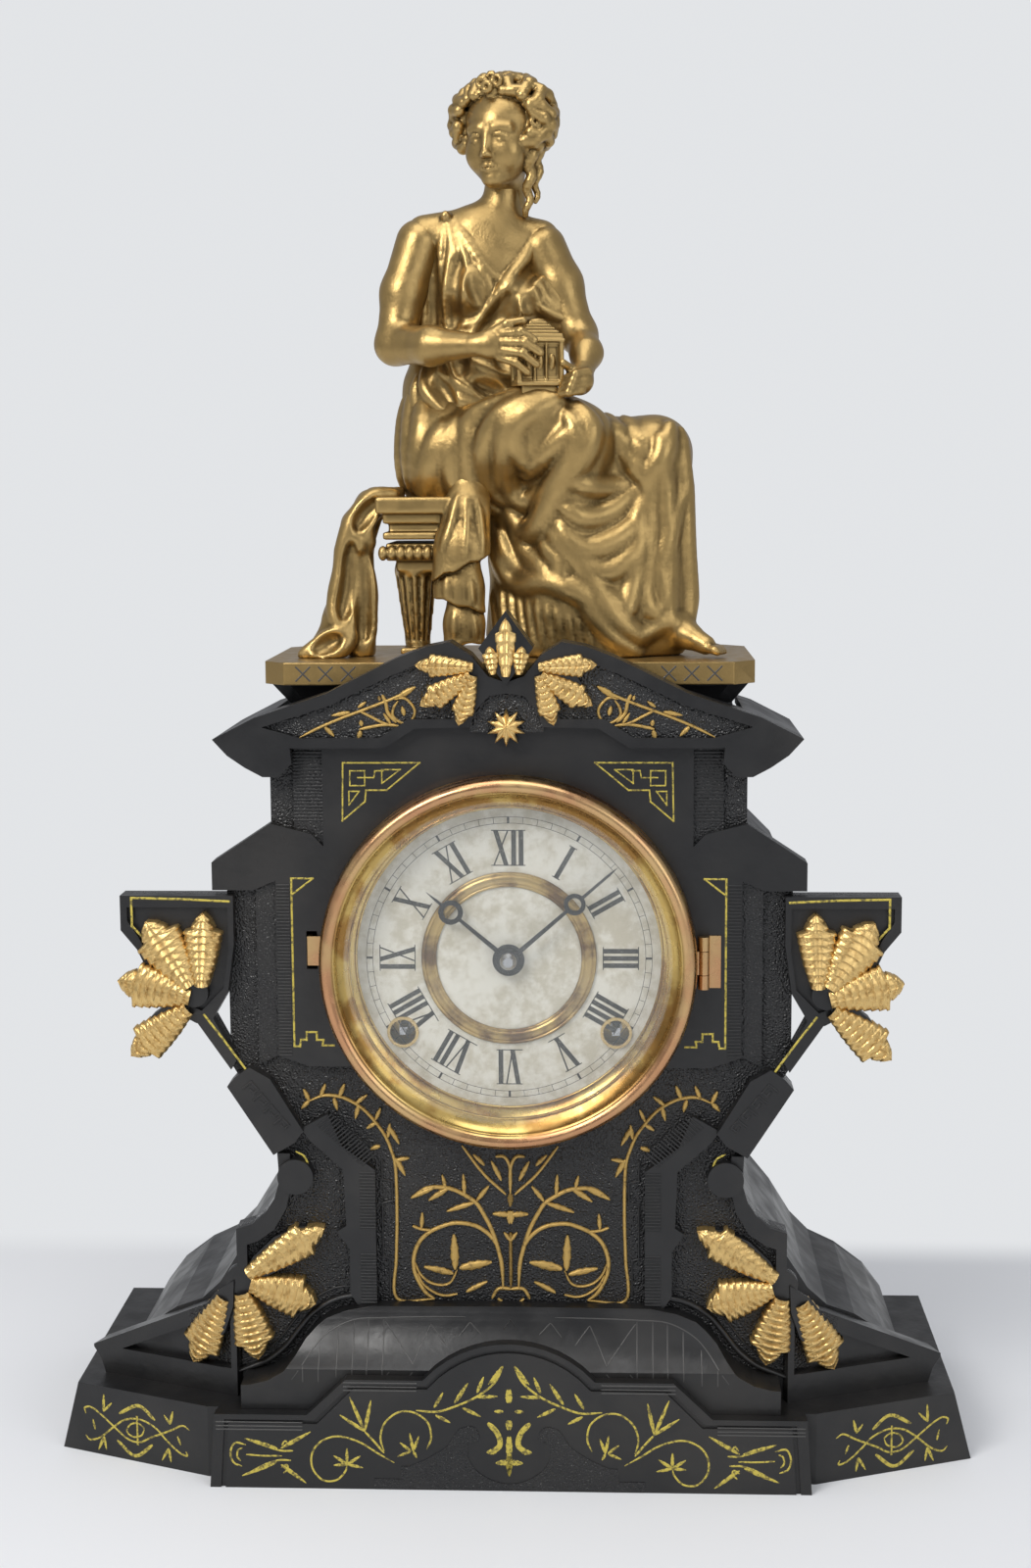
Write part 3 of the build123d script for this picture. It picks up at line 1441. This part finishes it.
def pendulum_bob():
    """Lens-shaped bob, bored for the rod."""
    x, z = time_places()["pallets"]
    bob_z = z - pendulum_length
    flat = bob_half_thickness - bob_edge
    body = turned(x, bob_z, [
        (0, pendulum_y - bob_half_thickness), (bob_radius / 2, pendulum_y - flat),
        (bob_radius, pendulum_y - bob_edge), (bob_radius, pendulum_y + bob_edge),
        (bob_radius / 2, pendulum_y + flat), (0, pendulum_y + bob_half_thickness),
    ])
    return body - post(x, pendulum_y, pendulum_rod_radius + push_gap, bob_z - 2 * bob_radius,
                       bob_z + 2 * bob_radius)


def rating_nut():
    """Milled nut under the bob."""
    x, z = time_places()["pallets"]
    top = z - pendulum_length - bob_radius
    body = post(x, pendulum_y, rating_nut_radius, top - rating_nut_height, top)
    return body - post(x, pendulum_y, pendulum_rod_radius + push_gap, top - rating_nut_height - overrun,
                       top + overrun)


# The strike train, the hammer and the gong

def pin_wheel():
    """Pin wheel of the strike train, with its lifting pins."""
    at = strike_places()
    phase = mesh_phase(at["great"], great_teeth, 0, at["pin"], second_pinion_teeth)
    return wheel_on_arbor(at["pin"], pin_wheel_teeth, pin_wheel_module, second_front, second_pinion_teeth,
                          great_module, second_pinion_front, great_pinion_length, phase)


def warning_wheel():
    """Warning wheel of the strike train."""
    at = strike_places()
    phase = mesh_phase(at["pin"], pin_wheel_teeth, 0, at["warning"], warning_pinion_teeth)
    return wheel_on_arbor(at["warning"], warning_teeth, warning_module, warning_front, warning_pinion_teeth,
                          pin_wheel_module, warning_pinion_front, short_pinion_length, phase)


def strike_fly():
    """Two-bladed fan that keeps the blows at an even pace."""
    at = strike_places()
    x, z = at["fly"]
    phase = mesh_phase(at["warning"], warning_teeth, 0, at["fly"], fly_pinion_teeth)
    pinion_front = inner_face + fly_pinion_front
    pinion = gear(x, z, fly_pinion_teeth, warning_module, pinion_front, pinion_front + thin_pinion_length,
                  phase, 0)
    blade_front = inner_face + fly_front
    blade = block(x - fly_half_span, x + fly_half_span, blade_front, blade_front + fly_width,
                  z - fly_half_thickness, z + fly_half_thickness)
    return train_arbor(at["fly"]) + pinion + blade


warning_front = 18.0
warning_pinion_front = 27.6
fly_pinion_front = 17.0
fly_half_span = 10.5
fly_front = 3.0
fly_width = 10.0
fly_half_thickness = 0.35
gong_height = 106.0
gong_y = 34.0
gong_wire_radius = 1.2
gong_step = 2.3
gong_half_turns = 10
hammer_head_radius = 4.5
hammer_rest_gap = 0.9
hammer_arm_radius = 1.0
hammer_tail_reach = 9.0
gong_grip_half = 2.4
gong_column_half = 3.6
gong_foot_half = 14.4


def gong_inner_radius():
    """Radius of the coil's innermost half turn, from its outer size."""
    return gong_radius - gong_step * gong_half_turns


def gong_coil():
    """Steel wire coil, one unbroken spiral from its block outwards."""
    path = spiral(0, gong_height, gong_y, gong_inner_radius(), gong_step, gong_half_turns)
    start = path @ 0
    section = Plane(origin=start, z_dir=path % 0) * Circle(gong_wire_radius)
    return sweep(section, path=path)


def gong_stand():
    """Iron stand on the deck, with the block that grips the coil's inner end."""
    start_x = gong_inner_radius()
    half = gong_column_half
    front = gong_y + 2 * gong_step
    back = front + 2 * gong_step
    column = block(-half, half, front, back, base_height, gong_height + half)
    foot = block(-gong_foot_half, gong_foot_half, gong_y, back + half, base_height, base_height + half)
    bar = block(-half, start_x + gong_grip_half, front, back, gong_height - half, gong_height + half)
    grip = block(start_x - gong_grip_half, start_x + gong_grip_half, gong_y - gong_grip_half, front,
                 gong_height - half, gong_height)
    return column + foot + bar + grip


def hammer():
    """Strike hammer: arbor, tail between the plates, wire arm and round head."""
    x, z = hammer_place
    head_x = -(gong_radius + gong_step + gong_wire_radius + hammer_head_radius + hammer_rest_gap)
    head_z = gong_height + 2 * hammer_head_radius
    tail_y = inner_face + second_front + pinion_gap
    body = disc(x, z, arbor_radius, front_plate_face - pivot_stand, gong_y + 2 * hammer_arm_radius)
    tail = rod((x, tail_y, z), (x - hammer_tail_reach, tail_y, z + hammer_tail_reach), arbor_radius / 2)
    wire = rod((x, gong_y, z), (head_x, gong_y, head_z), hammer_arm_radius)
    head = rod((head_x - hammer_head_radius, gong_y, head_z), (head_x + hammer_head_radius, gong_y, head_z),
               hammer_head_radius - hammer_arm_radius)
    return body + tail + wire + head


# The figure: a seated draped woman on a stool, with a casket

figure_top = crown_height - plinth_top
waist_share = 0.465
neck_share = 0.81
head_share = 0.9
waist_height = plinth_top + figure_top * waist_share
neck_height = plinth_top + figure_top * neck_share


def ring_face(centre_x, centre_y, half_x, half_y, height, folds, depth, sides):
    """Face at one height: an ellipse as a polygon, with folds running in and out round it."""
    corners = []
    for side in range(sides):
        angle = 2 * pi * side / sides
        swell = 1 + depth * cos(folds * angle)
        x = centre_x + half_x * swell * cos(angle)
        y = centre_y + half_y * swell * sin(angle)
        corners.append((x, y, height))
    return make_face(Polyline(*corners, close=True))


hip_foot = 424.0
hip_shares = [
    (-0.22, 0.1, 0.34, 0.3, 0.0), (-0.23, 0.1, 0.36, 0.3, 0.4), (-0.2, 0.1, 0.34, 0.27, 0.75),
    (-0.17, 0.09, 0.32, 0.24, 1.0),
]
hem_height = 450.0
hem_shares = [
    (0.41, 0.03, 0.55, 0.36, 0.0), (0.4, 0.03, 0.53, 0.34, 0.2), (0.39, 0.04, 0.53, 0.33, 0.55),
    (0.37, 0.06, 0.5, 0.27, 1.0),
]
skirt_limb_shares = [
    ((-0.3, 0.05, 0.363), 0.232, (0.35, -0.23, 0.379), 0.169),
    ((-0.09, 0.19, 0.355), 0.232, (0.73, -0.07, 0.352), 0.18),
    ((0.36, -0.23, 0.375), 0.163, (0.31, -0.19, 0.234), 0.128),
    ((0.755, -0.06, 0.352), 0.18, (0.78, -0.05, 0.04), 0.17),
    ((0.84, -0.13, 0.03), 0.08, (1.08, -0.3, 0.012), 0.035),
]
lap_place_shares = (0.1, -0.2, 0.39)
lap_radii = (26.0, 17.0, 18.0)
fold_tier_shares = [
    (-0.42, -0.1, -0.33, 0.46), (-0.36, -0.12, -0.31, 0.2), (-0.3, -0.14, -0.29, 0.0),
]
fold_back_share = -0.25
fold_seat_share = -0.1
fold_thickness = 10.0
torso_shares = [
    (-0.17, 0.09, 0.32, 0.24, 0.0), (-0.15, 0.08, 0.29, 0.2, 0.2), (-0.1, 0.06, 0.31, 0.23, 0.45),
    (-0.1, 0.05, 0.32, 0.24, 0.6), (-0.11, 0.08, 0.35, 0.2, 0.78), (-0.1, 0.1, 0.3, 0.15, 0.92),
    (-0.05, 0.1, 0.14, 0.12, 1.0),
]
figure_span = 86.0
skirt_folds = 11
skirt_fold_share = 0.045
skirt_sides = 44


def draped_body(shares, foot, height, folds, depth, sides):
    """Stack of ring faces, skinned with flat bands."""
    faces = []
    for across, back, half_x, half_y, up in shares:
        faces.append(ring_face(figure_span * across, figure_span * back, figure_span * half_x,
                               figure_span * half_y, foot + height * up, folds, depth, sides))
    return loft(faces, ruled=True)


limb_sides = 14
limb_end_shares = [(0.9, 0.44), (0.5, 0.87)]


def limb(start, end, start_radius, end_radius):
    """Round-ended tapering limb, as a stack of polygons along its axis."""
    run = Vector(*end) - Vector(*start)
    stations = [(-start_radius * out, start_radius * share) for out, share in limb_end_shares]
    stations += [(0, start_radius), (run.length, end_radius)]
    for out, share in reversed(limb_end_shares):
        stations.append((run.length + end_radius * out, end_radius * share))
    rings = []
    for along, radius in stations:
        place = Vector(*start) + run.normalized() * along
        rings.append(Plane(origin=place, z_dir=run) * RegularPolygon(radius, limb_sides))
    return loft(rings, ruled=True)


def skirt_limbs():
    """Two thighs and two shins under the cloth, the far knee crossed over the near one, and a foot."""
    body = Part()
    for start_shares, start_share, end_shares, end_share in skirt_limb_shares:
        body = body + limb(figure_point(start_shares), figure_point(end_shares), figure_span * start_share,
                           figure_span * end_share)
    return body


def fold_panel():
    """Cloth that lies on the seat's front edge and hangs from it in three tiers."""
    fold_top = stool_seat_height + fold_thickness
    back = figure_span * fold_back_share
    body = Part()
    for left, right, front, up in fold_tier_shares:
        foot = plinth_top + (stool_seat_height - plinth_top) * up
        body = body + block(figure_span * left, figure_span * right, figure_span * front, back, foot,
                            fold_top)
    left, right, front, up = fold_tier_shares[0]
    return body + block(figure_span * left, figure_span * right, back, figure_span * fold_seat_share,
                        stool_seat_height, fold_top)


def figure_skirt():
    """Skirt over hips, lap, crossed knees and shins, with one foot and the hanging folds."""
    hip_rise = waist_height - hip_foot
    hips = draped_body(hip_shares, hip_foot, hip_rise, skirt_folds, skirt_fold_share, skirt_sides)
    hem_rise = hem_height - plinth_top
    hem = draped_body(hem_shares, plinth_top, hem_rise, skirt_folds, skirt_fold_share, skirt_sides)
    lap = egg(figure_point(lap_place_shares), lap_radii)
    floor = block(-figure_span, 2 * figure_span, -figure_span, figure_span, plinth_top - figure_span,
                  plinth_top)
    return hips + hem + lap + skirt_limbs() - floor - stool_room() + fold_panel()


def figure_torso():
    """Draped chest and back, from the waist to the neck."""
    rise = neck_height - waist_height
    return draped_body(torso_shares, waist_height, rise, skirt_folds, 0.0, skirt_sides // 2)


head_egg_shares = [
    ((-0.04, 0.04, 0.0), (0.2, 0.235, 0.28)), ((-0.02, 0.09, 0.08), (0.28, 0.27, 0.235)),
    ((-0.08, -0.1, 0.24), (0.1, 0.09, 0.065)),
]
neck_foot_shares = (-0.04, 0.1)
neck_top_shares = (-0.03, 0.07, 0.0)
neck_radius_share = 0.125
ringlet_top_shares = (0.16, 0.1, 0.0)
ringlet_tip_shares = (0.14, 0.08, -0.32)
ringlet_radius_shares = (0.06, 0.025)


def head_point(shares):
    """Point of the head from shares of the figure's span, measured from the head's middle."""
    across, back, up = shares
    middle = plinth_top + figure_top * head_share
    return (figure_span * across, figure_span * back, middle + figure_span * up)


def figure_head():
    """Neck, head and dressed hair with a ringlet at one side."""
    body = Part()
    for centre_shares, radius_shares in head_egg_shares:
        body = body + egg(head_point(centre_shares), tuple(figure_span * share for share in radius_shares))
    neck_x, neck_y = (figure_span * share for share in neck_foot_shares)
    neck = rod((neck_x, neck_y, neck_height), head_point(neck_top_shares), figure_span * neck_radius_share)
    top_share, tip_share = ringlet_radius_shares
    ringlet = rod(head_point(ringlet_top_shares), head_point(ringlet_tip_shares), figure_span * top_share,
                  figure_span * tip_share)
    span = figure_span
    floor = block(-span, span, -span, span, neck_height - span, neck_height)
    return body + neck + ringlet - floor


shoulder_shares_right = (-0.42, 0.06, 0.73)
elbow_shares_right = (-0.6, 0.0, 0.53)
wrist_shares_right = (-0.12, -0.36, 0.535)
shoulder_shares_left = (0.24, 0.08, 0.7)
elbow_shares_left = (0.36, 0.04, 0.53)
wrist_shares_left = (0.42, -0.24, 0.5)


def figure_point(shares):
    """Point of the figure from shares of its span and of its height."""
    across, back, up = shares
    return (figure_span * across, figure_span * back, plinth_top + figure_top * up)


elbow_radius_share = 0.78
wrist_radius_share = 0.45
elbow_joint_share = 0.8
palm_shares = (0.8, 0.5, 0.5)
near_arm_share = 0.13
far_arm_share = 0.115


def arm(shoulder_shares, elbow_shares, wrist_shares, thickness):
    """Arm from shoulder to hand, cut where it meets the torso and the lap."""
    shoulder = figure_point(shoulder_shares)
    elbow = figure_point(elbow_shares)
    wrist = figure_point(wrist_shares)
    joint = thickness * elbow_joint_share
    body = rod(shoulder, elbow, thickness, thickness * elbow_radius_share)
    body = body + egg(shoulder, (thickness, thickness, thickness)) + egg(elbow, (joint, joint, joint))
    body = body + rod(elbow, wrist, thickness * elbow_radius_share, thickness * wrist_radius_share)
    return body + egg(wrist, tuple(thickness * share for share in palm_shares))


def right_arm():
    """Bare arm with a level forearm, on the viewer's left."""
    thickness = figure_span * near_arm_share
    limb_body = arm(shoulder_shares_right, elbow_shares_right, wrist_shares_right, thickness)
    return limb_body - figure_torso() - casket()


def left_arm():
    """Arm on the viewer's right, with its hand under the casket."""
    thickness = figure_span * far_arm_share
    limb_body = arm(shoulder_shares_left, elbow_shares_left, wrist_shares_left, thickness)
    return limb_body - figure_torso() - casket()


casket_place_shares = (0.14, -0.3, 0.467)
casket_depth_share = 0.36
casket_height_share = 0.95
lid_foot_share = 2.2
lid_top_shares = (1.2, 0.8)
lid_height_share = 1.4
casket_rest_share = 0.8


def casket():
    """Small casket with a hipped lid, standing on the lap."""
    x, y, z = figure_point(casket_place_shares)
    half = casket_width / 2
    deep = casket_width * casket_depth_share
    tall = casket_width * casket_height_share
    box = block(x - half, x + half, y - deep, y + deep, z, z + tall)
    lid_foot = Plane(origin=(x, y, z + tall)) * Rectangle(lid_foot_share * half, lid_foot_share * deep)
    across, back = lid_top_shares
    lid_top = Plane(origin=(x, y, z + tall * lid_height_share)) * Rectangle(across * half, back * deep)
    rest_half = half * casket_rest_share
    rest_deep = deep * casket_rest_share
    rest = block(x - rest_half, x + rest_half, y - rest_deep, y + rest_deep, z - deep, z)
    return box + loft([lid_foot, lid_top], ruled=True) + rest


stool_seat_height = 437.0
stool_seat_thickness = 16.0
stool_left = -61.0
stool_front = -20.0
stool_rear = 36.0
stool_leg_top_radius = 8.4
stool_leg_foot_radius = 6.0
stool_width_share = 0.5
leg_inset_share = 1.5
collar_share = 1.35
collar_drop_share = 2.6
leg_pad_share = 1.3


def stool_room():
    """Room of the stool and the air under it, which the skirt is cut back from."""
    inner = stool_left + figure_span * stool_width_share
    return block(-figure_span, inner, -figure_span / 2, figure_span, plinth_top - overrun, stool_seat_height)


def stool():
    """Padded-edge stool on tapering legs, each with a turned collar."""
    seat_foot = stool_seat_height - stool_seat_thickness
    right = stool_left + figure_span * stool_width_share
    third = stool_seat_thickness / 3
    body = block(stool_left, right, stool_front, stool_rear, stool_seat_height - third, stool_seat_height)
    body = body + block(stool_left + third / 2, right, stool_front + third / 2, stool_rear - third / 2,
                        seat_foot, stool_seat_height - third)
    leg_inset = stool_leg_top_radius * leg_inset_share
    collar = stool_leg_top_radius * collar_share
    for x in (stool_left + leg_inset, right - collar):
        for y in (stool_front + leg_inset, stool_rear - leg_inset):
            leg = rod((x, y, plinth_top), (x, y, seat_foot), stool_leg_foot_radius, stool_leg_top_radius)
            ring = post(x, y, collar, seat_foot - collar_drop_share * third, seat_foot - third)
            pad = post(x, y, stool_leg_foot_radius * leg_pad_share, plinth_top, plinth_top + third / 2)
            body = body + leg + ring + pad
    return body


cloth_shares = [
    (-0.9, 0.2, 0.0), (-0.86, 0.11, 0.12), (-0.84, 0.08, 0.4), (-0.8, 0.085, 0.8), (-0.74, 0.06, 1.0),
]
cloth_depth_share = 0.55
cloth_top_shares = (-0.14, 0.1)
cloth_lie_shares = (0.5, 0.8)
cloth_thickness = 3.0


def stool_cloth():
    """Cloth that hangs over the stool's left end down to the slab."""
    faces = []
    for across, half, up in cloth_shares:
        z = plinth_top + (stool_seat_height - plinth_top) * up
        x = min(figure_span * across, stool_left - figure_span * half - push_gap)
        depth = (stool_rear - stool_front) * cloth_depth_share
        sheet = Rectangle(2 * figure_span * half, depth)
        faces.append(Plane(origin=(x, (stool_front + stool_rear) / 2, z)) * sheet)
    left, right = (stool_left + figure_span * share for share in cloth_top_shares)
    front_share, rear_share = cloth_lie_shares
    lie = block(left, right, stool_front * front_share, stool_rear * rear_share, stool_seat_height,
                stool_seat_height + cloth_thickness)
    return loft(faces, ruled=True) + lie


def build():
    """Write every sub-part of the clock."""
    os.makedirs("parts", exist_ok=True)
    time_side, strike_side = winding_places()
    save("base_casting", base_casting())
    save("hood_moulding", hood_moulding())
    save("front_casting", front_casting())
    save("ear_right", ear(1))
    save("ear_left", ear(-1))
    save("pediment", pediment())
    save("case_body", case_body())
    save("back_plate", back_plate(), back_door_hinge())
    save("case_bolts", case_bolts())
    save("back_door", back_door())
    save("plinth_slab", plinth_slab())
    save("plinth_cove", plinth_cove())
    save("figure_studs", figure_studs())
    save("bezel", bezel())
    save("bezel_glass", bezel_glass())
    save("bezel_fittings", bezel_hinge_knuckle(), bezel_latch())
    save("bezel_hinge", bezel_hinge_bracket(), bezel_hinge_pin())
    save("dial_pan", dial_pan())
    save("dial_paper", dial_paper())
    save("dial_rings", sight_ring(), inner_ring())
    save("winding_eyelets", *winding_eyelets())
    save("hour_hand", hour_hand())
    save("minute_hand", minute_hand())
    save("hour_wheel", hour_wheel())
    save("minute_pipe", minute_pipe())
    save("minute_wheel", minute_wheel())
    save("hand_nut", hand_nut())
    save("front_movement_plate", front_movement_plate())
    save("rear_movement_plate", rear_movement_plate())
    save("pillars", pillars(), pillar_nuts())
    save("movement_brackets", movement_brackets())
    for name, (x, z), phase in (("time", time_side, 0), ("strike", strike_side, 0)):
        save(name + "_mainspring", mainspring(x, z))
        save(name + "_winding_arbor", winding_arbor(x, z))
        save(name + "_great_wheel", great_wheel(x, z, phase))
        save(name + "_click", click(x, z))
    save("second_wheel", second_wheel())
    save("centre_wheel", centre_wheel())
    save("third_wheel", third_wheel())
    save("escape_wheel", escape_wheel())
    save("pallets", pallets())
    save("pendulum_rod", pendulum_rod())
    save("pendulum_bob", pendulum_bob(), rating_nut())
    save("pin_wheel", pin_wheel())
    save("warning_wheel", warning_wheel())
    save("strike_fly", strike_fly())
    save("hammer", hammer())
    save("gong_coil", gong_coil())
    save("gong_stand", gong_stand())
    skirt = figure_skirt()
    save("figure_skirt", skirt)
    save("figure_torso", figure_torso())
    save("figure_head", figure_head())
    save("right_arm", right_arm())
    save("left_arm", left_arm())
    save("casket", casket() - skirt)
    save("stool", stool())
    save("stool_cloth", stool_cloth())


build()
